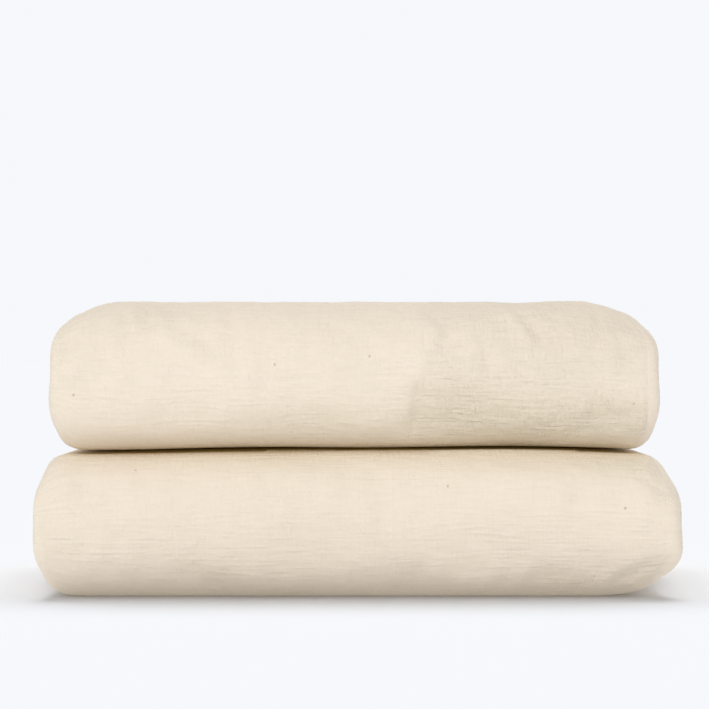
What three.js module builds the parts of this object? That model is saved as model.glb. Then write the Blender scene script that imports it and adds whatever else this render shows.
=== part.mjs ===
// A flat bed sheet of natural cotton gauze, folded for the shelf, with two soft rounded folds at its front.
// Lengths are in millimetres. X runs across the folds, -Y is the front, +Z is up, and the bundle stands on Z = 0.
//
// The sheet is folded in half, hem to hem, and its two plies then lie together as one layer of doubled cloth.
// Across its width that layer has both edges folded to the middle and is closed like a book: a band of 4 layers.
// Along its length the band is folded in half, has both ends folded to the middle and is closed like a book.
// So 8 runs of the band lie on each other, 32 layers in all, and all hems are inside.
import * as THREE from "three";

// Driving dimensions of the folded sheet.
const height = 150;
const depth = 303;
const layerThickness = 3; // two plies of gauze, pressed together
const layersInBand = 4;
const runsOfBand = 8;
const halfWidth = 160; // of the evenly folded bundle, before each fold is drawn out to its reach

// How far the two front folds reach to each side of the middle, by how they were laid.
const reach = {
  lower: { left: 167, right: 168 },
  upper: { left: 158, right: 159 },
};

// The rounded corners of the bundle's ends, seen from the front: how far each goes in and how high it is.
const corners = {
  upper: {
    top: { left: { length: 41, rise: 34 }, right: { length: 47, rise: 30 } },
    bottom: { left: { length: 22, rise: 33 }, right: { length: 22, rise: 28 } },
  },
  lower: {
    top: { left: { length: 26, rise: 33 }, right: { length: 28, rise: 33 } },
    bottom: { left: { length: 26, rise: 34 }, right: { length: 49, rise: 28 } },
  },
};
// The same, seen from above, at all four ends.
const planCorner = { length: 22, rise: 24 };
const cornerPower = 2.5; // 2 makes them all elliptical, and more makes them fuller
// The big fold at the back: its round corners, its swell between them, and the waist at both of its ends.
const spine = { corner: 45, crown: 5, waistHeight: 34, waist: { left: 18, right: 25 } };

// How far the ends of runs 4 and 5, with the hems, and the turn of run 3 into run 2 reach into that fold.
const reachIntoSpine = { run4: 5, run5: -1, turn: -5 };

// Each end of the band lies a little differently in each run: waves of the band's edge along its length.
const edgeWaves = [
  { wavelength: 610, size: 1.8, leftPhase: 0.4, rightPhase: 2.1 },
  { wavelength: 383, size: 1.1, leftPhase: 1.9, rightPhase: 4.4 },
];
const upperSetBack = 5; // the upper fold's front lies this far behind the lower one's

// Long soft waves across the bundle. They fade out at the top and at the foot, which lie flat.
const liftWaves = [
  { wavelength: 290, size: 1, phase: 0.9 },
  { wavelength: 173, size: 0.6, phase: 4.1 },
];
const bulgeWaves = [
  { wavelength: 251, size: 1.5, phase: 2.2 },
  { wavelength: 167, size: 0.9, phase: 5.3 },
];
const bulgeSlant = 0.5; // how far they lean sideways with the height
// Soft hollows in the upper fold's front, and the stretch of depth in which they fade out behind it.
const frontHollows = [
  { x: 78, z: 84, halfLength: 34, halfHeight: 30, size: 8 },
  { x: 132, z: 86, halfLength: 22, halfHeight: 22, size: 4.5 },
];
const hollowFade = { from: -145, to: -85 };

// What follows from them.
const layers = layersInBand * runsOfBand;
const pitch = (height - layerThickness) / (layers - 1);
const bandPitch = layersInBand * pitch;
const foldHalfHeight = ((layers / 2 - 1) * pitch + layerThickness) / 2;
const foldCentre = { lower: foldHalfHeight, upper: height - foldHalfHeight };
const frontCentre = -depth / 2 + foldHalfHeight; // where the front folds' round ends have their centres
const backCentre = depth / 2 - spine.crown - spine.corner; // and those of the big fold's corners
const spineInside = backCentre + spine.corner - 1.5 * bandPitch; // the innermost layer of the big fold

const quarterTurn = Math.PI / 2;
const cornerMiddle = 0.5 ** (1 / cornerPower); // where the two halves of a rounded corner meet
const clamp = THREE.MathUtils.clamp;
const smooth = THREE.MathUtils.smoothstep;
const lerp = THREE.MathUtils.lerp;

// The height of the middle of one run of the band, counted from the bottom.
function runHeight(run) {
  return layerThickness / 2 + (layersInBand * run + (layersInBand - 1) / 2) * pitch;
}

// The sum of a table of waves at a place along them.
function waveSum(waves, place, phaseName = "phase") {
  return waves.reduce((sum, each) => {
    return sum + each.size * Math.sin((2 * Math.PI * place) / each.wavelength + each[phaseName]);
  }, 0);
}

// The band's way through the bundle, seen from its side, as rows of { y, z, turn }.
// turn is the way that the band heads in: 0 to the back, and a quarter turn is upwards.
function bandRows() {
  const betweenFolds = [1, 2].map((part) => lerp(frontCentre, backCentre, part / 3));
  const rows = [];
  const add = (y, z, turn) => rows.push({ y, z, turn });
  const runBack = (run) => betweenFolds.forEach((y) => add(y, runHeight(run), 0));
  const runForward = (run) => betweenFolds.toReversed().forEach((y) => add(y, runHeight(run), Math.PI));
  // Half a turn from one run to another: two rounded corners, in quarter arcs of so many steps each.
  // Its round part starts at y, and it bulges to the front (-1) or to the back (+1).
  // Where the corners leave a straight stretch between them, that has rows of its own.
  const bend = (from, to, y, side, steps, cornerRadius = Infinity) => {
    const rise = Math.sign(runHeight(to) - runHeight(from));
    const radius = Math.min(cornerRadius, Math.abs(runHeight(to) - runHeight(from)) / 2);
    const arcHeight = (angle) => rise * radius * (1 - Math.cos(angle));
    const heading = (angle) => (side > 0 ? rise * angle : Math.PI - rise * angle);
    for (let step = 0; step <= steps; step++) {
      const angle = (quarterTurn * step) / steps;
      add(y + side * radius * Math.sin(angle), runHeight(from) + arcHeight(angle), heading(angle));
    }
    const straightStart = runHeight(from) + rise * radius;
    const straightEnd = runHeight(to) - rise * radius;
    const straightSteps = radius === cornerRadius ? 4 : 0;
    for (let step = 1; step <= straightSteps; step++) {
      add(y + side * radius, lerp(straightStart, straightEnd, step / straightSteps), heading(quarterTurn));
    }
    for (let step = steps - 1; step >= 0; step--) {
      const angle = (quarterTurn * step) / steps;
      add(y + side * radius * Math.sin(angle), runHeight(to) - arcHeight(angle), heading(Math.PI - angle));
    }
  };
  add(backCentre + reachIntoSpine.run4, runHeight(4), Math.PI);
  runForward(4);
  bend(4, 7, frontCentre, -1, 3);
  runBack(7);
  bend(7, 0, backCentre, 1, 3, spine.corner);
  runForward(0);
  bend(0, 3, frontCentre, -1, 3);
  runBack(3);
  bend(3, 2, backCentre + reachIntoSpine.turn, 1, 2);
  runForward(2);
  bend(2, 1, frontCentre, -1, 2);
  runBack(1);
  bend(1, 6, backCentre, 1, 3, spine.corner - bandPitch);
  runForward(6);
  bend(6, 5, frontCentre, -1, 2);
  runBack(5);
  add(backCentre + reachIntoSpine.run5, runHeight(5), 0);
  return rows;
}

// The middle line of the band's 4 layers, cut across, with X across the bundle and Y through the band.
// facing is the way that the cloth's outer side looks. Its edges were folded in at the left, and at the
// right the book fold wraps all 4 layers.
function bandSection() {
  const stations = [-0.87, -0.73, -0.36, 0.36, 0.73, 0.87].map((share) => share * halfWidth);
  const leftCentre = -halfWidth + (pitch + layerThickness) / 2;
  const rightCentre = halfWidth - (3 * pitch + layerThickness) / 2;
  const layerAt = (layer) => (layer - (layersInBand - 1) / 2) * pitch;
  const line = [];
  const runLeft = (y) => stations.toReversed().forEach((x) => line.push({ x, y, facing: quarterTurn }));
  const runRight = (y) => stations.forEach((x) => line.push({ x, y, facing: 3 * quarterTurn }));
  const arc = (x, y, radius, from, to, steps) => {
    for (let step = 0; step <= steps; step++) {
      const facing = lerp(from, to, step / steps);
      line.push({ x: x + radius * Math.cos(facing), y: y + radius * Math.sin(facing), facing });
    }
  };
  line.push({ x: rightCentre, y: layerAt(1), facing: quarterTurn });
  runLeft(layerAt(1));
  arc(leftCentre, -pitch, pitch / 2, quarterTurn, 3 * quarterTurn, 3);
  runRight(layerAt(0));
  arc(rightCentre, 0, 1.5 * pitch, -quarterTurn, quarterTurn, 6);
  runLeft(layerAt(3));
  arc(leftCentre, pitch, pitch / 2, quarterTurn, 3 * quarterTurn, 3);
  runRight(layerAt(2));
  line.push({ x: rightCentre, y: layerAt(2), facing: 3 * quarterTurn });
  return line;
}

// Both faces of the cloth along that line: out along the outer one, and back along the inner one.
function bothFaces(line) {
  const face = (offset) => {
    return line.map((point) => {
      const x = point.x + offset * Math.cos(point.facing);
      return new THREE.Vector2(x, point.y + offset * Math.sin(point.facing));
    });
  };
  return [...face(layerThickness / 2), ...face(-layerThickness / 2).toReversed()];
}

// How far a corner of that length and rise has come in, at a share of the way along it.
function cornerDrop(size, share) {
  return size * (1 - (1 - clamp(share, 0, cornerMiddle) ** cornerPower) ** (1 / cornerPower));
}

// How far the ends of the big fold are drawn in at that height, into a soft waist.
function waistInset(z, side) {
  const share = clamp((z - height / 2) / spine.waistHeight, -1, 1);
  return (spine.waist[side] * (1 + Math.cos(Math.PI * share))) / 2;
}

// How far a point lies from the bundle's middle, for the corners that are seen from above.
// In the front folds' round ends, all layers come in as far as the outermost one does.
function planDepth(y, z, foldMiddle) {
  const toFront = frontCentre - y;
  if (toFront <= 0) {
    return Math.abs(y);
  }
  return (foldHalfHeight * toFront) / Math.hypot(toFront, z - foldMiddle) - frontCentre;
}

// How far the front is pressed in at a place of the settled bundle.
function hollowDepth(x, z, y) {
  const sum = frontHollows.reduce((total, each) => {
    const reach = ((x - each.x) / each.halfLength) ** 2 + ((z - each.z) / each.halfHeight) ** 2;
    return total + each.size * Math.exp(-reach);
  }, 0);
  return z > height / 2 ? sum * (1 - smooth(y, hollowFade.from, hollowFade.to)) : 0;
}

// Where a point of the evenly folded bundle lies once the cloth has settled.
// Each end is drawn in to rounded corners. Those between the two front folds fade into the back fold's waist.
function settle(point, alongBand) {
  const isUpper = point.z > height / 2;
  const name = isUpper ? "upper" : "lower";
  const side = point.x < 0 ? "left" : "right";
  const front = 1 - smooth(point.y, backCentre + reachIntoSpine.run4, spineInside);
  const upperShare = lerp(smooth(point.z, 0.25 * height, 0.7 * height), isUpper ? 1 : 0, front);

  const level = (point.z - foldCentre[name]) / foldHalfHeight;
  const edge = level > 0 ? "top" : "bottom";
  const isInner = isUpper !== (edge === "top");
  const kept = isInner ? front : 1;
  const corner = corners[name][edge][side];
  const length = corner.length * kept;
  const rise = corner.rise * kept;

  const limit = lerp(reach.lower[side], reach.upper[side], upperShare);
  const flatEnd = foldHalfHeight - rise * (1 - cornerMiddle);
  const heightShare = rise > 0 ? (Math.abs(level) * flatEnd - foldHalfHeight + rise) / rise : 0;
  const planFlatEnd = depth / 2 - planCorner.rise * (1 - cornerMiddle);
  const depthShare = ((planDepth(point.y, point.z, foldCentre[name]) * 2) / depth) * planFlatEnd;
  const waist = waistInset(point.z, side) * (1 - front);
  const planShare = (depthShare - depth / 2 + planCorner.rise) / planCorner.rise;
  const inset = waist + cornerDrop(length, heightShare) + cornerDrop(planCorner.length, planShare);
  const edgeWave = Math.min(waveSum(edgeWaves, alongBand, side + "Phase"), 0);
  const x = (point.x / halfWidth) * (limit - inset + edgeWave);

  const along = (Math.abs(x) - limit + length) / Math.max(length, 1);
  const lift = waveSum(liftWaves, x) * Math.sin((Math.PI * point.z) / height);
  const z = foldCentre[name] + level * (foldHalfHeight - cornerDrop(rise, along)) + lift;

  const planAlong = (Math.abs(x) - limit + waist + planCorner.length) / planCorner.length;
  const planDrop = cornerDrop(planCorner.rise, planAlong);
  const setBack = upperSetBack * upperShare * (1 - smooth(point.y, frontCentre, 0));
  const swell = spine.crown * smooth(point.y, 0, backCentre) * (1 - ((2 * point.z) / height - 1) ** 2);
  const bulge = waveSum(bulgeWaves, x + bulgeSlant * point.z) * Math.sin((Math.PI * point.z) / height);
  const hollow = hollowDepth(x, point.z, point.y);
  const y = point.y * (1 - (2 * planDrop) / depth) + setBack + swell + bulge + hollow;
  return new THREE.Vector3(x, y, z);
}

// The band's outline, carried along its rows, each point in its place in the even bundle.
function bandPoints(section, rows) {
  return rows.map((row) => {
    const across = new THREE.Vector2(Math.sin(row.turn), -Math.cos(row.turn));
    return section.map((point) => {
      return new THREE.Vector3(point.x, row.y + point.y * across.x, row.z + point.y * across.y);
    });
  });
}

// Whether the line from one point to another leads to the right as it leads back.
// All layers are split into triangles along lines that do, so that those which face each other agree.
function leadsBackRight(from, to) {
  const way = to.clone().sub(from);
  return way.x * (way.y - 0.01 * way.z) > 0;
}

// The skin between the rows, and the cloth's cut edge at each end.
function bandTriangles(points) {
  const count = points[0].length;
  const triangles = [];
  for (let row = 0; row + 1 < points.length; row++) {
    for (let here = 0; here < count; here++) {
      const next = (here + 1) % count;
      const [a, b] = [row * count + here, row * count + next];
      const [c, d] = [b + count, a + count];
      const joinsAC = leadsBackRight(points[row][here], points[row + 1][next]);
      triangles.push(...(joinsAC ? [a, b, c, a, c, d] : [a, b, d, b, c, d]));
    }
  }
  const lastRow = (points.length - 1) * count;
  for (let here = 0; here + 1 < count / 2; here++) {
    const [a, b, c, d] = [here, here + 1, count - 2 - here, count - 1 - here];
    const edge = [a, b, c, a, c, d];
    triangles.push(...edge.toReversed(), ...edge.map((index) => lastRow + index));
  }
  return triangles;
}

// The whole sheet, settled, and moved to stand with its middle over the origin.
function foldedSheet() {
  const rows = bandRows();
  const points = bandPoints(bothFaces(bandSection()), rows);
  let alongBand = 0;
  const settled = rows.flatMap((row, index) => {
    const last = rows[Math.max(index - 1, 0)];
    alongBand += Math.hypot(row.y - last.y, row.z - last.z);
    return points[index].map((point) => settle(point, alongBand));
  });
  const geometry = new THREE.BufferGeometry().setFromPoints(settled);
  geometry.setIndex(bandTriangles(points));
  geometry.computeBoundingBox();
  const middle = geometry.boundingBox.getCenter(new THREE.Vector3());
  geometry.translate(-middle.x, -middle.y, 0);
  geometry.computeVertexNormals();
  return geometry;
}

const naturalCotton = new THREE.MeshStandardMaterial({ color: 0xefe3d0, roughness: 0.95, metalness: 0 });
const sheet = new THREE.Mesh(foldedSheet(), naturalCotton);
sheet.name = "sheet";

const bundle = new THREE.Group();
bundle.add(sheet);
export default bundle;
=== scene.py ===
# A flat bed sheet of natural cotton gauze, folded for the shelf, with two soft rounded folds in front.
# Lengths are in metres. X runs across the folds, -Y is the front and +Z is up.
import math
import bpy
import numpy as np
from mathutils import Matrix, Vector


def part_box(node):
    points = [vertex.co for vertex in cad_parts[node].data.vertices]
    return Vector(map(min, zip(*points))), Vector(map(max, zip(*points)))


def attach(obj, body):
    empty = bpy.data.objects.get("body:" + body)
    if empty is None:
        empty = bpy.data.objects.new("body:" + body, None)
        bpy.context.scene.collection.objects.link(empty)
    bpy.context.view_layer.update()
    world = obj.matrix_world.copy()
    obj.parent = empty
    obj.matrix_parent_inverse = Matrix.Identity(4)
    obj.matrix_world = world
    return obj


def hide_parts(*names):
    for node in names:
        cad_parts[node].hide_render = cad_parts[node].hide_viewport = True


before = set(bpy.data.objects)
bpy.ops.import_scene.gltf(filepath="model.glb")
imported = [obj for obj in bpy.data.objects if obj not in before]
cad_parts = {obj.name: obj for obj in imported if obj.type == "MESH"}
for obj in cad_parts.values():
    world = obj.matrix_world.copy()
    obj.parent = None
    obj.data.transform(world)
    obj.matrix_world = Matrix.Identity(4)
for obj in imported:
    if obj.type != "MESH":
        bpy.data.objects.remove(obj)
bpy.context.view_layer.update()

cadBox = [Vector(corner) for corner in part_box("sheet")]
print("frame loaded, with", len(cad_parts), "node")

# How the sheet is folded: doubled, brought to a band of 4 layers, and the band laid to and fro in 8 runs.
foldValues = {
    "height": 0.150,
    "depth": 0.303,
    "layerThickness": 0.003,  # of two plies, pressed together
    "plyThickness": 0.0012,
    "hemThickness": 0.0018,
    "hemWidth": 0.020,
    "layersInBand": 4,
    "runsOfBand": 8,
    "halfWidth": 0.160,  # of the evenly folded bundle, before each fold is drawn out to its reach
    "reach": {"lower": (0.167, 0.168), "upper": (0.158, 0.159)},  # left and right
    "reachBlend": (0.25, 0.7),  # behind the folds it blends between these shares of the height
    # The rounded corners of the bundle's ends, left and right: (length, rise).
    "corners": {
        ("upper", "top"): ((0.041, 0.034), (0.047, 0.030)),
        ("upper", "bottom"): ((0.022, 0.033), (0.022, 0.028)),
        ("lower", "top"): ((0.026, 0.033), (0.028, 0.033)),
        ("lower", "bottom"): ((0.026, 0.034), (0.049, 0.028)),
    },
    "cornerPower": 2.5,  # 2 makes them elliptical, and more makes them fuller
    "planCorner": (0.009, 0.016),  # the same, seen from above, at all four ends
    # How far the inner plies' ends lie behind the outermost one's in the front folds, and where that ends.
    "endHollow": 0.009,
    "endHollowBack": 0.020,
    "spineCorner": 0.045,
    "spineCrown": 0.005,
    "waistHeight": 0.034,
    "waist": (0.018, 0.025),  # left and right
    "run4Reach": 0.005,  # how far the ends of runs 4 and 5, and the turn of run 3, reach into the big fold
    "run5Reach": -0.001,
    "turnReach": -0.005,
    # Waves as (wavelength, size, phase). The edge's waves have a phase for the left and one for the right.
    "edgeWaves": ((0.610, 0.0018, (0.4, 2.1)), (0.383, 0.0011, (1.9, 4.4))),
    "liftWaves": ((0.290, 0.001, 0.9), (0.173, 0.0006, 4.1)),
    "bulgeWaves": ((0.251, 0.0015, 2.2), (0.167, 0.0009, 5.3)),
    "bulgeSlant": 0.5,  # how far the bulge's waves lean sideways with the height
    "upperSetBack": 0.005,  # how far the upper fold's front lies behind the lower one's
    # Broad hollows of the front, seen from there: (x, z, half width, half height, size).
    "frontHollows": (
        (0.078, 0.084, 0.034, 0.030, 0.0080),
        (0.132, 0.086, 0.022, 0.022, 0.0045),
    ),
    "frontReach": (-0.145, -0.085),  # they fade out between these places
}
height = foldValues["height"]
depth = foldValues["depth"]
layersInBand = foldValues["layersInBand"]
layers = layersInBand * foldValues["runsOfBand"]
middleLayer = (layersInBand - 1) / 2
pitch = (height - foldValues["layerThickness"]) / (layers - 1)
bandPitch = layersInBand * pitch
foldHalfHeight = ((layers / 2 - 1) * pitch + foldValues["layerThickness"]) / 2
frontCentre = foldHalfHeight - depth / 2  # where the front folds' round ends have their centres
backCentre = depth / 2 - foldValues["spineCrown"] - foldValues["spineCorner"]  # and the big fold's corners
spineInside = backCentre + foldValues["spineCorner"] - 1.5 * bandPitch  # its inner face
plyOffset = pitch / 4  # of a layer's two plies from its middle
tiny = 1e-6

# How finely each stretch of the sheet is divided. Only the outermost ply shows, so the others are coarse.
gridValues = {
    "acrossOutside": 151,  # steps across the outermost ply
    "acrossInside": (-0.93, -0.85, -0.73, -0.55, -0.2, 0.2, 0.55, 0.73, 0.85, 0.93),
    "leftFold": 6,
    "rightFold": 10,
    "closedFold": 4,
    "outerBend": 26,  # steps in each quarter of the two front folds
    "innerBend": 4,
    "topRun": 46,
    "bottomRun": 13,
    "innerRun": 5,
    "spineQuarter": 15,
    "spineStraight": 18,
    "innerSpineQuarter": 5,
    "innerSpineStraight": 5,
}


def smooth(value, low, high):
    share = np.clip((value - low) / (high - low), 0, 1)
    return share * share * (3 - 2 * share)


def bySide(x, pair):
    return np.where(x < 0, pair[0], pair[1])


def runHeight(run):
    return foldValues["layerThickness"] / 2 + (layersInBand * run + middleLayer) * pitch


def waveSum(waves, place):
    return sum(size * np.sin(2 * math.pi * place / wavelength + phase) for wavelength, size, phase in waves)


# The band's way through the bundle, seen from its side, as rows of (y, z, turn).
# turn is the way that the band heads in: 0 to the back, and a quarter turn is upwards.
def bandRows():
    rows = []

    def run(number, toBack, steps):
        shares = np.arange(1, steps) / steps
        places = frontCentre + (backCentre - frontCentre) * (shares if toBack else 1 - shares)
        rows.extend((y, runHeight(number), 0 if toBack else math.pi) for y in places)

    def bend(start, end, y, side, steps, corner=math.inf, straightSteps=0):
        rise = 1 if end > start else -1
        radius = min(corner, abs(runHeight(end) - runHeight(start)) / 2)
        angles = [math.pi / 2 * step / steps for step in range(steps + 1)]

        def heading(angle):
            return rise * angle if side > 0 else math.pi - rise * angle

        for angle in angles:
            lifted = runHeight(start) + rise * radius * (1 - math.cos(angle))
            rows.append((y + side * radius * math.sin(angle), lifted, heading(angle)))
        straightStart = runHeight(start) + rise * radius
        straightRise = runHeight(end) - rise * radius - straightStart
        for step in range(1, straightSteps + 1):
            raised = straightStart + straightRise * step / straightSteps
            rows.append((y + side * radius, raised, heading(math.pi / 2)))
        for angle in reversed(angles[:-1]):
            lowered = runHeight(end) - rise * radius * (1 - math.cos(angle))
            rows.append((y + side * radius * math.sin(angle), lowered, heading(math.pi - angle)))

    outer, inner, short = gridValues["outerBend"], gridValues["innerBend"], gridValues["innerRun"]
    spineCorner = foldValues["spineCorner"]
    rows.append((backCentre + foldValues["run4Reach"], runHeight(4), math.pi))
    run(4, False, short)
    bend(4, 7, frontCentre, -1, outer)
    run(7, True, gridValues["topRun"])
    bend(7, 0, backCentre, 1, gridValues["spineQuarter"], spineCorner, gridValues["spineStraight"])
    run(0, False, gridValues["bottomRun"])
    bend(0, 3, frontCentre, -1, outer)
    run(3, True, short)
    bend(3, 2, backCentre + foldValues["turnReach"], 1, inner)
    run(2, False, short)
    bend(2, 1, frontCentre, -1, inner)
    run(1, True, short)
    innerSteps = gridValues["innerSpineQuarter"]
    bend(1, 6, backCentre, 1, innerSteps, spineCorner - bandPitch, gridValues["innerSpineStraight"])
    run(6, False, short)
    bend(6, 5, frontCentre, -1, inner)
    run(5, True, short)
    rows.append((backCentre + foldValues["run5Reach"], runHeight(5), 0))
    return np.array(rows)


# The middle of the sheet's two plies in the band, cut across, as (x, s, facing), with s through the band.
# The first ply goes from its hem inside the band round to the closed fold, and the second one comes back.
def plySection():
    left = -foldValues["halfWidth"] + (pitch + foldValues["layerThickness"]) / 2
    right = foldValues["halfWidth"] - (3 * pitch + foldValues["layerThickness"]) / 2
    inside = [share * foldValues["halfWidth"] for share in gridValues["acrossInside"]]
    steps = gridValues["acrossOutside"]
    outside = [left + (right - left) * step / steps for step in range(1, steps)]

    def layerAt(layer):
        return (layer - middleLayer) * pitch

    def arc(x, s, radius, start, end, count):
        angles = [math.radians(start + (end - start) * step / count) for step in range(count + 1)]
        return [(x + radius * math.cos(angle), s + radius * math.sin(angle), angle) for angle in angles]

    def layerLine(topSide, outermost):
        line = [(right, layerAt(1), math.pi / 2)]
        line += [(x, layerAt(1), math.pi / 2) for x in reversed(inside)]
        line += arc(left, -pitch, pitch / 2, 90, 270, gridValues["leftFold"])
        line += [(x, layerAt(0), 1.5 * math.pi) for x in outermost]
        line += arc(right, 0, 1.5 * pitch, -90, 90, gridValues["rightFold"])
        line += [(x, layerAt(3), math.pi / 2) for x in reversed(inside)]
        line += arc(left, pitch, pitch / 2, 90, 270, gridValues["leftFold"])
        line += [(x, layerAt(2), 1.5 * math.pi) for x in inside]
        line += [(right, layerAt(2), 1.5 * math.pi)]
        way = 1 if topSide else -1
        plies = [
            (x + way * plyOffset * math.cos(facing), s + way * plyOffset * math.sin(facing), facing)
            for x, s, facing in line
        ]
        return plies if topSide else [(x, s, facing + math.pi) for x, s, facing in reversed(plies)]

    closedFold = arc(right, layerAt(2), plyOffset, 270, 450, gridValues["closedFold"])[1:-1]
    return np.array(layerLine(True, outside) + closedFold + layerLine(False, inside))


# How far a corner of that length and rise has come in, at a share of the way along it.
def cornerDrop(size, share):
    power = foldValues["cornerPower"]
    return size * (1 - (1 - np.clip(share, 0, 0.5 ** (1 / power)) ** power) ** (1 / power))


# Where points of the evenly folded bundle lie once the cloth has settled.
def settle(x, y, z, alongBand):
    middleDrop = 1 - 0.5 ** (1 / foldValues["cornerPower"])
    isUpper = z > height / 2
    front = 1 - smooth(y, backCentre + foldValues["run4Reach"], spineInside)
    upperShare = smooth(z / height, *foldValues["reachBlend"])
    upperShare = upperShare + (isUpper - upperShare) * front
    foldMiddle = np.where(isUpper, height - foldHalfHeight, foldHalfHeight)
    level = (z - foldMiddle) / foldHalfHeight
    isTop = level > 0

    # The rounded corner that each point belongs to. Those between the two front folds fade out to the back.
    length = np.zeros_like(x)
    rise = np.zeros_like(x)
    for (fold, edge), (atLeft, atRight) in foldValues["corners"].items():
        here = (isUpper == (fold == "upper")) & (isTop == (edge == "top"))
        length = np.where(here, bySide(x, (atLeft[0], atRight[0])), length)
        rise = np.where(here, bySide(x, (atLeft[1], atRight[1])), rise)
    kept = np.where(isUpper != isTop, front, 1)
    length, rise = length * kept, rise * kept
    flatEnd = foldHalfHeight - rise * middleDrop
    beyondFlat = abs(level) * flatEnd - foldHalfHeight + rise
    heightShare = np.where(rise > tiny, beyondFlat / np.maximum(rise, tiny), 0)

    # The same, seen from above. In the front folds' round ends all plies come in as far as the outermost.
    planLength, planRise = foldValues["planCorner"]
    planFlatEnd = depth / 2 - planRise * middleDrop
    toFront = np.maximum(frontCentre - y, 0)
    fromMiddle = np.maximum(np.hypot(toFront, z - foldMiddle), tiny)
    planDepth = np.where(toFront > 0, foldHalfHeight * toFront / fromMiddle - frontCentre, abs(y))
    planShare = (planDepth * 2 / depth * planFlatEnd - depth / 2 + planRise) / planRise

    # How far the ends come in: at the corners, in the big fold's waist, and inside the front folds.
    waistShare = np.clip((z - height / 2) / foldValues["waistHeight"], -1, 1)
    waist = bySide(x, foldValues["waist"]) * (1 + np.cos(math.pi * waistShare)) / 2 * (1 - front)
    inside = 1 - np.minimum(fromMiddle / foldHalfHeight, 1) ** 2
    hollow = foldValues["endHollow"] * inside * (1 - smooth(y, frontCentre, foldValues["endHollowBack"]))
    inset = waist + cornerDrop(length, heightShare) + cornerDrop(planLength, planShare) + hollow

    def edgeWave(side):
        waves = [(wavelength, size, phases[side]) for wavelength, size, phases in foldValues["edgeWaves"]]
        return waveSum(waves, alongBand)

    lowerReach = bySide(x, foldValues["reach"]["lower"])
    upperReach = bySide(x, foldValues["reach"]["upper"])
    limit = lowerReach + (upperReach - lowerReach) * upperShare
    edgeInset = np.minimum(bySide(x, (edgeWave(0), edgeWave(1))), 0)
    settledX = x / foldValues["halfWidth"] * (limit - inset + edgeInset)

    along = (abs(settledX) - limit + length) / np.maximum(length, 0.001)
    lift = waveSum(foldValues["liftWaves"], settledX) * np.sin(math.pi * z / height)
    settledZ = foldMiddle + level * (foldHalfHeight - cornerDrop(rise, along)) + lift

    planAlong = (abs(settledX) - limit + waist + planLength) / planLength
    setBack = foldValues["upperSetBack"] * upperShare * (1 - smooth(y, frontCentre, 0))
    swell = foldValues["spineCrown"] * smooth(y, 0, backCentre) * (1 - (2 * z / height - 1) ** 2)
    slanted = settledX + foldValues["bulgeSlant"] * z
    bulge = waveSum(foldValues["bulgeWaves"], slanted) * np.sin(math.pi * z / height)
    for atX, atZ, halfWide, halfHigh, size in foldValues["frontHollows"]:
        reach = ((settledX - atX) / halfWide) ** 2 + ((z - atZ) / halfHigh) ** 2
        inFold = isUpper == (atZ > height / 2)
        bulge = bulge + inFold * size * np.exp(-reach) * (1 - smooth(y, *foldValues["frontReach"]))
    settledY = y * (1 - 2 * cornerDrop(planRise, planAlong) / depth) + setBack + swell + bulge
    return np.stack([settledX, settledY, settledZ], axis=-1)


# The creases of the outermost ply, as seen from the front. A crease goes from one place to
# the other, bowed to its left, and is a trough where its size is below 0. Its widths are those to its left
# and to its right.
creaseColumns = ("fromX", "fromZ", "toX", "toZ", "bow", "leftWidth", "rightWidth", "size")
creases = (
    (-0.108, 0.150, -0.107, 0.135, 0.000, 0.0025, 0.0035, -0.0016),
    (-0.121, 0.147, -0.117, 0.137, 0.001, 0.0030, 0.0040, -0.0009),
    (-0.095, 0.138, -0.068, 0.120, 0.002, 0.0050, 0.0060, -0.0015),
    (-0.065, 0.150, -0.066, 0.139, 0.000, 0.0025, 0.0025, -0.0012),
    (0.033, 0.150, 0.048, 0.134, 0.001, 0.0120, 0.0035, -0.0021),
    (0.048, 0.136, 0.030, 0.104, 0.001, 0.0260, 0.0035, -0.0024),
    (0.033, 0.110, 0.028, 0.080, 0.000, 0.0260, 0.0035, -0.0024),
    (0.067, 0.128, 0.066, 0.113, 0.000, 0.0030, 0.0030, -0.0012),
    (0.075, 0.146, 0.090, 0.130, 0.000, 0.0040, 0.0050, 0.0014),
    (0.081, 0.146, 0.096, 0.132, 0.000, 0.0035, 0.0040, -0.0012),
    (0.1235, 0.147, 0.1235, 0.133, 0.000, 0.0028, 0.0028, -0.0014),
    (-0.099, 0.099, -0.099, 0.083, 0.000, 0.0022, 0.0022, -0.0008),
    (0.084, 0.087, 0.154, 0.095, 0.001, 0.0024, 0.0024, -0.0009),
    (0.100, 0.084, 0.150, 0.088, 0.001, 0.0024, 0.0024, -0.0009),
    (0.138, 0.066, 0.157, 0.048, 0.001, 0.0030, 0.0030, -0.0018),
    (0.142, 0.068, 0.160, 0.052, 0.001, 0.0030, 0.0030, 0.0012),
    (0.126, 0.002, 0.161, 0.021, 0.003, 0.0040, 0.0040, -0.0021),
    (-0.157, 0.011, -0.143, 0.002, 0.001, 0.0030, 0.0030, -0.0018),
)
gapValues = {
    # How far the folds stand apart along the front, beside what the layers leave: (x, opening).
    "openings": (
        (-0.160, 0.0004), (-0.120, 0.0006), (-0.090, 0.0011), (-0.035, 0.0012), (0.003, 0.0001),
        (0.040, 0.0007), (0.080, 0.0008), (0.110, 0.0010), (0.135, 0.0012), (0.160, 0.0008),
    ),
    "reach": 0.007,  # how far from the gap the two folds are drawn apart
    "upperShare": 0.3,  # of the opening, and the lower fold gives the rest
    # The band of painted light between the folds, where the cloth glows though no lamp is there: its half
    # height.
    "paintedLightHeight": 0.003,
    "paintedLightDrop": 0.0004,  # how far below the bundle's middle the painted light is strongest
}
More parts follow.
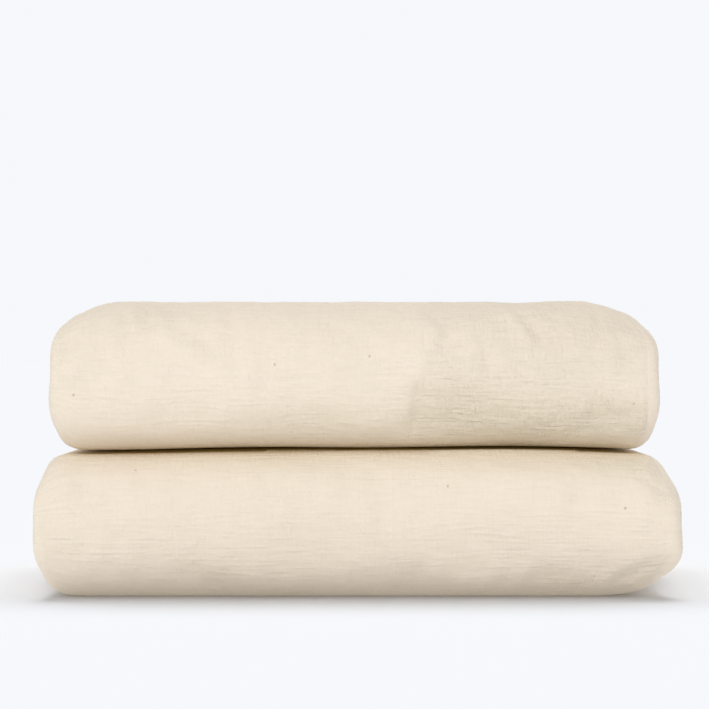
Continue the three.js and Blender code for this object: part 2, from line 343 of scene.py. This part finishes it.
# Where the ends are a little fuller or slacker than the even bundle's.
swellColumns = ("x", "z", "halfWidth", "halfHeight", "toX", "toZ")
endSwells = (
    (0.167, 0.034, 0.045, 0.018, 0.0028, 0.0),
    (0.158, 0.110, 0.045, 0.014, 0.0017, 0.0),
    (-0.158, 0.106, 0.045, 0.012, -0.0008, 0.0),
    (-0.167, 0.036, 0.045, 0.014, -0.0020, 0.0),
    (-0.137, 0.147, 0.010, 0.010, 0.0, -0.0008),
    (-0.149, 0.138, 0.008, 0.008, -0.0006, 0.0004),
    (0.136, 0.147, 0.012, 0.010, 0.0, -0.0012),
    (-0.150, 0.082, 0.008, 0.008, -0.0010, -0.0006),
    (0.150, 0.082, 0.008, 0.008, 0.0008, -0.0004),
    (-0.152, 0.068, 0.008, 0.008, -0.0008, 0.0006),
)
# Painted shade (above 0) and painted light (below 0) in the cloth's colour, as soft ovals on the front: the
# shade lies in creases, along the gap between the folds, near the floor and on the upper fold's right. Its
# threads stand out more in the dark ones.
paintedShadingColumns = ("x", "z", "halfWidth", "halfHeight", "slant", "size")
paintedShadingPatches = (
    (0.100, 0.126, 0.062, 0.024, 0.0, 0.07),
    (0.050, 0.103, 0.019, 0.013, 0.0, 0.12),
    (0.095, 0.092, 0.066, 0.016, 0.0, 0.12),
    (0.112, 0.094, 0.028, 0.008, 0.2, 0.12),
    (0.147, 0.090, 0.010, 0.009, 0.0, 0.09),
    (0.000, 0.082, 0.170, 0.018, 0.0, 0.10),
    (-0.105, 0.143, 0.016, 0.006, 0.0, 0.06),
    (-0.081, 0.129, 0.017, 0.005, -0.6, 0.06),
    (-0.151, 0.124, 0.004, 0.006, 0.0, 0.06),
    (0.082, 0.137, 0.008, 0.004, -1.2, -0.06),
    (-0.146, 0.090, 0.014, 0.014, 0.0, -0.04),
    (0.140, 0.067, 0.024, 0.007, 0.0, 0.10),
    (0.149, 0.056, 0.010, 0.003, -0.9, 0.10),
    (-0.145, 0.028, 0.007, 0.006, 0.0, 0.06),
    (-0.073, 0.014, 0.010, 0.006, 0.0, 0.06),
    (-0.038, 0.004, 0.013, 0.004, 0.0, 0.07),
    (-0.135, 0.008, 0.030, 0.008, 0.0, -0.04),
    (0.105, 0.009, 0.022, 0.009, 0.0, 0.10),
    (0.144, 0.012, 0.018, 0.010, 0.4, 0.12),
)
paintedShadingValues = {
    "ovalPower": 1.4,  # 1 lets the ovals fade like a bell, and more makes them flatter in the middle
    # The line where painted shade begins on the upper fold's front, darker to its right: (x, z).
    "edge": ((0.028, 0.075), (0.028, 0.081), (0.033, 0.109), (0.047, 0.135), (0.035, 0.149), (0.030, 0.152)),
    "edgeSize": 0.055,
    "edgeBlur": (-0.002, 0.006),  # from its left to its right
    "edgeFade": (0.02, 0.09),  # how far to its right most of it fades out again
    "fadeShare": 0.6,
}
softValues = {
    "loft": 0.0009,  # how far the outermost ply stands off the others where nothing presses on it
    "endFade": 0.010,
    "gapPress": (0.002, 0.016),  # so far from the gap it is pressed flat, and so far it is free
    "footPress": (0.001, 0.012),  # the same above the floor
    "calmHeights": (0.135, 0.148),  # the cloth lies more smoothly towards the bundle's top
    "calmShare": 0.6,
    "creaseReach": (0.03, 0.05),  # how far behind the front its creases fade out
    "frontEnd": (-0.12, -0.08),  # where its other marks fade out
    "seed": 11,
    "waveCount": 36,
    "shortest": 0.012,
    "longest": 0.090,
    "waveSize": 0.00045,
}


def creaseHeight(x, z):
    total = np.zeros_like(x)
    for row in creases:
        crease = dict(zip(creaseColumns, row))
        wayX, wayZ = crease["toX"] - crease["fromX"], crease["toZ"] - crease["fromZ"]
        length = math.hypot(wayX, wayZ)
        fromX, fromZ = x - crease["fromX"], z - crease["fromZ"]
        along = (fromX * wayX + fromZ * wayZ) / length**2
        aside = (fromZ * wayX - fromX * wayZ) / length - crease["bow"] * 4 * along * (1 - along)
        width = np.where(aside > 0, crease["leftWidth"], crease["rightWidth"])
        ends = smooth(along, -0.1, 0.2) * (1 - smooth(along, 0.8, 1.1))
        total += crease["size"] * np.exp(-((aside / width) ** 2)) * ends
    return total


# Slight unevenness of the cloth: many soft waves in all directions, the longer the higher.
def unevenHeight(across, along):
    draw = np.random.default_rng(softValues["seed"])
    total = np.zeros(np.broadcast(across, along).shape)
    for _ in range(softValues["waveCount"]):
        share, angle, phase = draw.random(), draw.random() * math.pi, draw.random() * 2 * math.pi
        wavelength = softValues["shortest"] * (softValues["longest"] / softValues["shortest"]) ** share
        size = softValues["waveSize"] * wavelength / softValues["longest"]
        place = (across * math.cos(angle) + along * math.sin(angle)) * 2 * math.pi / wavelength
        total += size * np.sin(place + phase)
    return total


# How strongly the front's marks show at that depth.
def onFront(y):
    return 1 - smooth(y, *softValues["frontEnd"])


# How much painted shade darkens the cloth's colour at each place of the outermost ply's front, and below 0
# how much painted light brightens it.
def frontPaintedShading(x, y, z):
    total = np.zeros_like(x)
    for row in paintedShadingPatches:
        patch = dict(zip(paintedShadingColumns, row))
        across, up = x - patch["x"], z - patch["z"] - patch["slant"] * (x - patch["x"])
        reach = (across / patch["halfWidth"]) ** 2 + (up / patch["halfHeight"]) ** 2
        total += patch["size"] * np.exp(-(reach ** paintedShadingValues["ovalPower"]))
    edgeX, edgeZ = np.array(paintedShadingValues["edge"]).T
    beyondEdge = x - np.interp(z, edgeZ, edgeX)
    fade = 1 - paintedShadingValues["fadeShare"] * smooth(beyondEdge, *paintedShadingValues["edgeFade"])
    total += paintedShadingValues["edgeSize"] * smooth(beyondEdge, *paintedShadingValues["edgeBlur"]) * fade * (z > height / 2)
    return total * onFront(y)


# How strongly light is painted on between the two folds, as a glow of the cloth itself.
def paintedGapLightShare(y, z):
    level = (z - height / 2 + gapValues["paintedLightDrop"]) / gapValues["paintedLightHeight"]
    return np.exp(-(level**2)) * onFront(y)


# How far all plies are moved together near the bundle's ends.
def endSwell(points):
    x, z = points[..., 0], points[..., 2]
    total = np.zeros_like(points)
    for row in endSwells:
        swell = dict(zip(swellColumns, row))
        reach = ((x - swell["x"]) / swell["halfWidth"]) ** 2 + ((z - swell["z"]) / swell["halfHeight"]) ** 2
        total[..., 0] += swell["toX"] * np.exp(-reach)
        total[..., 2] += swell["toZ"] * np.exp(-reach)
    return total


def stepLengths(places):
    return np.concatenate([[0], np.cumsum(np.hypot(*np.diff(places, axis=0).T))])


# Triangles between two lines of a rim, where the outer line has two steps for each step of the inner one.
def zipped(outer, inner):
    first, middle, last = outer[:-2:2], outer[1::2], outer[2::2]
    start, end = inner[:-1], inner[1:]
    return np.concatenate([
        np.stack([first, middle, start], axis=1),
        np.stack([middle, end, start], axis=1),
        np.stack([middle, last, end], axis=1),
    ])


# The triangles of a grid of corners. Each quad is split along the line that leads to the right as it leads
# back, on every layer alike, so that faces which lie on each other agree.
def gridTriangles(index, even):
    a, b, c, d = index[:-1, :-1], index[:-1, 1:], index[1:, 1:], index[1:, :-1]
    way = even[1:, 1:] - even[:-1, :-1]
    joinsAc = way[..., 0] * (way[..., 1] - 0.01 * way[..., 2]) > 0
    first = np.where(joinsAc[..., None], np.stack([a, b, c], axis=-1), np.stack([a, b, d], axis=-1))
    second = np.where(joinsAc[..., None], np.stack([a, c, d], axis=-1), np.stack([b, c, d], axis=-1))
    return np.concatenate([first.reshape(-1, 3), second.reshape(-1, 3)])


# Both faces of the sheet, as they lie in the even bundle and as they lie settled, in the frame's box.
def sheetFaces(rows, section, across, alongBand):
    # The sheet is thicker at its hems, on all four edges.
    fromSides = np.minimum(across, across[-1] - across)[None, :]
    fromEnds = np.minimum(alongBand, alongBand[-1] - alongBand)[:, None]
    hemWidth = foldValues["hemWidth"]
    hemShare = 1 - smooth(np.minimum(fromSides, fromEnds), 0.9 * hemWidth, hemWidth)
    thicker = foldValues["hemThickness"] - foldValues["plyThickness"]
    halfThickness = (foldValues["plyThickness"] + thicker * hemShare) / 2
    along = np.repeat(alongBand[:, None], len(across), axis=1)
    turn = rows[:, 2:3]

    def face(offset):
        x = section[None, :, 0] + offset * np.cos(section[None, :, 2])
        s = section[None, :, 1] + offset * np.sin(section[None, :, 2])
        y, z = rows[:, 0:1] + s * np.sin(turn), rows[:, 1:2] - s * np.cos(turn)
        return np.stack([x, y, z], axis=-1), settle(x, y, z, along)

    evenOuter, outer = face(halfThickness)
    evenInner, inner = face(-halfThickness)
    low, high = outer.reshape(-1, 3).min(axis=0), outer.reshape(-1, 3).max(axis=0)
    middle = (cadBox[0] + cadBox[1]) / 2
    shift = np.array([middle.x - (low[0] + high[0]) / 2, middle.y - (low[1] + high[1]) / 2, -low[2]])
    return evenOuter, outer + shift, evenInner, inner + shift


# Which lines of the grid belong to the outermost ply, and how strongly its relief shows on each of them.
def outermostLines(sectionX):
    start = len(gridValues["acrossInside"]) + 1 + gridValues["leftFold"] + 1
    end = start + gridValues["acrossOutside"] - 1
    isOutermost = np.zeros(len(sectionX))
    isOutermost[start:end] = 1
    left, right = sectionX[start], sectionX[end - 1]
    fade = softValues["endFade"]
    awayFromEnds = smooth(sectionX, left, left + fade) * (1 - smooth(sectionX, right - fade, right))
    return isOutermost, isOutermost * awayFromEnds


# How far the outermost ply stands out along its own normals: its loft, its unevenness and its creases, less
# what it is drawn back along the gap.
def outermostRelief(x, y, z, across, alongBand):
    isFree = smooth(abs(z - height / 2), *softValues["gapPress"]) * smooth(z, *softValues["footPress"])
    calm = 1 - softValues["calmShare"] * smooth(z, *softValues["calmHeights"])
    relief = softValues["loft"] + calm * unevenHeight(across[None, :], alongBand[:, None])
    creaseEnd = [behind - depth / 2 for behind in softValues["creaseReach"]]
    relief += creaseHeight(x, z) * (1 - smooth(y, *creaseEnd))
    nearGap = np.exp(-(((z - height / 2) / gapValues["reach"]) ** 2))
    foldShare = np.where(z > height / 2, gapValues["upperShare"], 1 - gapValues["upperShare"])
    opening = np.interp(x, *np.array(gapValues["openings"]).T) * nearGap * foldShare
    return relief * isFree - opening * onFront(y)


# A grid's values at the outer face's corners, then at the inner one's, which has every second of its lines.
def atCorners(grid):
    width = grid.shape[2:]
    return np.concatenate([grid.reshape(-1, *width), grid[::2, ::2].reshape(-1, *width)])


def foldedSheet():
    rows, section = bandRows(), plySection()
    alongBand, across = stepLengths(rows[:, :2]), stepLengths(section[:, :2])
    evenOuter, outer, evenInner, inner = sheetFaces(rows, section, across, alongBand)
    x, y, z = outer[..., 0], outer[..., 1], outer[..., 2]
    isOutermost, reliefShare = outermostLines(section[:, 0])
    # The painted shade and light of the front, kept for the cloth's colour.
    paintedShading = frontPaintedShading(x, y, z) * isOutermost
    # The painted light between the folds, kept for the material's glow.
    paintedGapLight = paintedGapLightShare(y, z) * isOutermost
    outward = outer - inner
    outward /= np.linalg.norm(outward, axis=-1, keepdims=True)
    lift = (outermostRelief(x, y, z, across, alongBand) * reliefShare)[..., None] * outward
    outer, inner = outer + lift, inner + lift
    swell = endSwell(outer)
    outer, inner = outer + swell, inner + swell

    # The outer face has all the lines of the grid, and the inner one has every second of them.
    outerIndex = np.arange(x.size).reshape(x.shape)
    innerPart = inner[::2, ::2]
    innerIndex = outerIndex.size + np.arange(innerPart[..., 0].size).reshape(innerPart.shape[:2])
    triangles = np.concatenate([
        gridTriangles(outerIndex, evenOuter),
        gridTriangles(innerIndex, evenInner[::2, ::2])[:, ::-1],
        zipped(outerIndex[:, 0], innerIndex[:, 0]),
        zipped(outerIndex[::-1, -1], innerIndex[::-1, -1]),
        zipped(outerIndex[0, ::-1], innerIndex[0, ::-1]),
        zipped(outerIndex[-1], innerIndex[-1]),
    ])
    points = np.concatenate([outer.reshape(-1, 3), innerPart.reshape(-1, 3)])
    flat = atCorners(np.stack(np.broadcast_arrays(across[None, :], alongBand[:, None]), axis=-1))

    mesh = bpy.data.meshes.new("sheet")
    mesh.from_pydata(points.tolist(), [], triangles.tolist())
    mesh.uv_layers.new(name="flatCloth").data.foreach_set("uv", flat[triangles.ravel()].ravel())
    # The painted shade and light goes to the material as an attribute.
    mesh.attributes.new("paintedShading", "FLOAT", "POINT").data.foreach_set("value", atCorners(paintedShading))
    # The painted light between the folds goes to the material as an attribute.
    mesh.attributes.new("paintedGapLight", "FLOAT", "POINT").data.foreach_set("value", atCorners(paintedGapLight))
    mesh.shade_smooth()
    piece = bpy.data.objects.new("foldedSheet", mesh)
    bpy.context.collection.objects.link(piece)
    print("folded sheet made, of", len(triangles), "triangles")
    return piece


# A socket with the shader maths that this file uses. Any other node comes from node().
class Signal:
    def __init__(self, tree, socket=None):
        self.tree = tree
        self.socket = socket

    def node(self, kind, settings=None, values=None, output=0):
        made = self.tree.nodes.new("ShaderNode" + kind)
        for name, value in (settings or {}).items():
            if name == "stops":
                for element, (place, shade) in zip(made.color_ramp.elements, value):
                    element.position = place
                    element.color = (*shade, 1)
            else:
                setattr(made, name, value)
        for name, value in (values or {}).items():
            if isinstance(value, Signal):
                self.tree.links.new(value.socket, made.inputs[name])
            else:
                made.inputs[name].default_value = value
        return Signal(self.tree, made.outputs[output] if made.outputs else None)

    def maths(self, operation, first, second=0.0):
        return self.node("Math", {"operation": operation}, {0: first, 1: second})

    def __add__(self, other):
        return self.maths("ADD", self, other)

    def __sub__(self, other):
        return self.maths("SUBTRACT", self, other)

    def __rsub__(self, other):
        return self.maths("SUBTRACT", other, self)

    def __mul__(self, other):
        return self.maths("MULTIPLY", self, other)

    __radd__ = __add__
    __rmul__ = __mul__


def srgb(red, green, blue):
    return tuple(
        (part / 255) / 12.92 if part / 255 <= 0.04045 else ((part / 255 + 0.055) / 1.055) ** 2.4
        for part in (red, green, blue)
    )


# Natural cotton gauze: an open plain weave of uneven threads, with thicker ones here and there.
cottonValues = {
    "colour": (0.868, 0.765, 0.640),
    "shadeColour": (0.775, 0.690, 0.553),
    "colourStops": (0.10, 0.62),  # the tints at which the cloth has the shade's colour, and the full one
    "fleckColour": (0.30, 0.22, 0.13),
    # the brown of the painted light between the folds
    "paintedGapLightColour": (0.034, 0.022, 0.003),
    "roughness": 0.95,
    "specular": 0.2,
    "sheen": 0.1,
    "weaveSteps": (0.00085, 0.00095),  # from thread to thread, across the sheet and along it
    "weaveHeight": 0.012,  # in millimetres, as all heights of the relief
    "plainRelief": 0.75,  # how strong the relief is, and how much stronger for each unit of painted shading
    "paintedShadingRelief": 4.0,
    # for each unit of painted shade, how far the tint falls towards the shade's colour
    "paintedShadingTint": 1.6,
    "fleckSpacing": 0.110,
    "fleckSize": 0.0004,
    "fleckStrength": 0.4,
}
# The cloth's noises, with their steps across the sheet and along it, their height in its relief and their
# share in its tint.
noiseColumns = ("stepAcross", "stepAlong", "detail", "place", "height", "tint")
clothNoises = (
    (0.016, 0.0012, 2, 3.1, 0.55, 0.32),  # thick threads across
    (0.055, 0.0026, 2, 7.7, 0.45, 0.0),  # longer lines across
    (0.0012, 0.009, 2, 5.3, 0.35, 0.16),  # threads along
    (0.0055, 0.0040, 2, 1.3, 0.55, 0.0),  # crinkles
    (0.0011, 0.0011, 1, 2.9, 0.20, 0.12),  # grain
    (0.11, 0.09, 3, 5.9, 0.0, 0.40),  # broad patches
)


def naturalCotton():
    values = cottonValues
    material = bpy.data.materials.new("naturalCotton")
    material.use_nodes = True
    material.node_tree.nodes.clear()
    start = Signal(material.node_tree)
    flat = start.node("UVMap", {"uv_map": "flatCloth"})

    def noise(row):
        scale = (1 / row["stepAcross"], 1 / row["stepAlong"], 1)
        location = (row["place"], row["place"], 0)
        placed = start.node("Mapping", None, {"Vector": flat, "Scale": scale, "Location": location})
        inputs = {"Vector": placed, "Scale": 1.0, "Detail": row["detail"], "Roughness": 0.5}
        return start.node("TexNoise", {"noise_dimensions": "2D"}, inputs)

    def threads(way, step):
        settings = {"wave_type": "BANDS", "bands_direction": way, "wave_profile": "SIN"}
        scale = math.pi / 10 / step  # at a scale of 1 the bands are pi / 10 apart
        inputs = {"Vector": flat, "Scale": scale, "Distortion": 1.5, "Detail": 1.0, "Detail Scale": 0.5}
        return start.node("TexWave", settings, inputs)

    noiseRows = [dict(zip(noiseColumns, row)) for row in clothNoises]
    noises = [(noise(row), row) for row in noiseRows]
    weave = threads("X", values["weaveSteps"][0]) + threads("Y", values["weaveSteps"][1])
    # The painted shade and light that the mesh carries, darker above 0.
    darker = start.node("Attribute", {"attribute_name": "paintedShading"}, output="Fac")
    relief = sum(signal * row["height"] for signal, row in noises) + weave * values["weaveHeight"]
    relief = relief * (darker * values["paintedShadingRelief"] + values["plainRelief"])
    normal = start.node("Bump", None, {"Height": relief, "Distance": 0.001, "Strength": 1.0})

    # The colour: the noises' random tint, less the painted shade.
    tint = sum(signal * row["tint"] for signal, row in noises) - darker * values["paintedShadingTint"]
    stops = tuple(zip(values["colourStops"], (values["shadeColour"], values["colour"])))
    cloth = start.node("ValToRGB", {"stops": stops}, {"Fac": tint})
    cells = start.node("Mapping", None, {"Vector": flat, "Scale": (1 / values["fleckSpacing"],) * 2 + (1,)})
    distance = start.node("TexVoronoi", {"voronoi_dimensions": "2D"}, {"Vector": cells, "Scale": 1.0})
    fleckRadius = values["fleckSize"] / values["fleckSpacing"]
    flecks = start.node("MapRange", {"interpolation_type": "SMOOTHSTEP"}, {
        "Value": distance, "From Min": fleckRadius, "From Max": 2 * fleckRadius,
        "To Min": values["fleckStrength"], "To Max": 0.0,
    })
    # The mix node's input 0 is its share, 6 and 7 are its two colours, and output 2 is the mixed colour.
    mixed = {0: flecks, 6: cloth, 7: (*values["fleckColour"], 1)}
    colour = start.node("Mix", {"data_type": "RGBA"}, mixed, 2)

    # Between the two folds, painted light: the cloth glows faintly brown there, with no lamp behind it.
    inGap = start.node("Attribute", {"attribute_name": "paintedGapLight"}, output="Fac")
    paintedGapLight = start.node("ValToRGB", {"stops": ((0.0, (0, 0, 0)), (1.0, values["paintedGapLightColour"]))}, {"Fac": inGap})
    shader = start.node("BsdfPrincipled", None, {
        "Base Color": colour, "Roughness": values["roughness"], "Normal": normal,
        "Specular IOR Level": values["specular"], "Sheen Weight": values["sheen"], "Sheen Roughness": 0.5,
        "Emission Color": paintedGapLight, "Emission Strength": 1.0,
    })
    start.node("OutputMaterial", None, {"Surface": shader})
    print("natural cotton made")
    return material


# The studio: a pale floor, a pale sky that shows in one plain tone, and broad soft lights. Those on the
# cloth leave the floor alone, and the one on the floor makes the bundle's soft shadow there.
lightColumns = ("name", "shinesOn", "elevation", "azimuth", "softness", "power")  # azimuth 0 is the front
lights = (
    ("keyLight", "cloth", 35, -22, 40, 1.13),
    ("backLight", "cloth", 20, 160, 40, 0.75),
    ("lowLight", "cloth", -70, 0, 40, 0.62),
    ("footLight", "cloth", -53, 180, 40, 0.60),
    ("floorLight", "floor", 67, 180, 45, 2.02),
)
studioValues = {
    "paper": srgb(246, 248, 252),
    "floorColour": (0.747, 0.760, 0.788),
    "skyLight": 0.644,
    "floorSize": 60,
}
cameraValues = {
    "x": -0.0010,
    "height": 0.12435,
    "distance": 1.8,  # to the bundle's front
    "pixelsPerMetre": 1978,
    "imageWidth": 709,
    "sensor": 36.0,
}


def studio(cloth):
    values = studioValues
    world = bpy.data.worlds.new("studio")
    bpy.context.scene.world = world
    world.use_nodes = True
    world.node_tree.nodes.clear()
    start = Signal(world.node_tree)
    isSeen = start.node("LightPath", output="Is Camera Ray")
    lit = start.node("Background", None, {"Color": (1, 1, 1, 1), "Strength": values["skyLight"]})
    seen = start.node("Background", None, {"Color": (*values["paper"], 1), "Strength": 1.0})
    both = start.node("MixShader", None, {0: isSeen, 1: lit, 2: seen})
    start.node("OutputWorld", None, {"Surface": both})

    half = values["floorSize"] / 2
    corners = [(-half, -half, 0), (half, -half, 0), (half, half, 0), (-half, half, 0)]
    mesh = bpy.data.meshes.new("floor")
    mesh.from_pydata(corners, [], [(0, 1, 2, 3)])
    material = bpy.data.materials.new("paleFloor")
    material.use_nodes = True
    shader = material.node_tree.nodes["Principled BSDF"]
    shader.inputs["Base Color"].default_value = (*values["floorColour"], 1)
    shader.inputs["Roughness"].default_value = 1.0
    shader.inputs["Specular IOR Level"].default_value = 0.0
    mesh.materials.append(material)
    floor = bpy.data.objects.new("floor", mesh)
    bpy.context.collection.objects.link(floor)

    receivers = {}
    for name, piece in (("cloth", cloth), ("floor", floor)):
        receivers[name] = bpy.data.collections.new(name + "Only")
        receivers[name].objects.link(piece)
    for row in lights:
        light = dict(zip(lightColumns, row))
        lamp = bpy.data.lights.new(light["name"], "SUN")
        lamp.energy = light["power"]
        lamp.angle = math.radians(light["softness"])
        holder = bpy.data.objects.new(light["name"], lamp)
        holder.rotation_euler = (math.radians(90 - light["elevation"]), 0, math.radians(light["azimuth"]))
        holder.light_linking.receiver_collection = receivers[light["shinesOn"]]
        holder.light_linking.blocker_collection = receivers["cloth"]
        bpy.context.collection.objects.link(holder)
    bpy.context.scene.view_settings.view_transform = "Standard"
    print("studio set")


def placeCamera():
    values = cameraValues
    data = bpy.data.cameras.new("camera")
    data.sensor_width = values["sensor"]
    data.lens = values["sensor"] * values["pixelsPerMetre"] * values["distance"] / values["imageWidth"]
    camera = bpy.data.objects.new("camera", data)
    camera.location = (values["x"], cadBox[0].y - values["distance"], values["height"])
    camera.rotation_euler = (math.pi / 2, 0, 0)
    bpy.context.collection.objects.link(camera)
    bpy.context.scene.camera = camera
    print("camera placed")


placeCamera()
sheet = foldedSheet()
sheet.data.materials.append(naturalCotton())
studio(sheet)
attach(sheet, "root")
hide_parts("sheet")
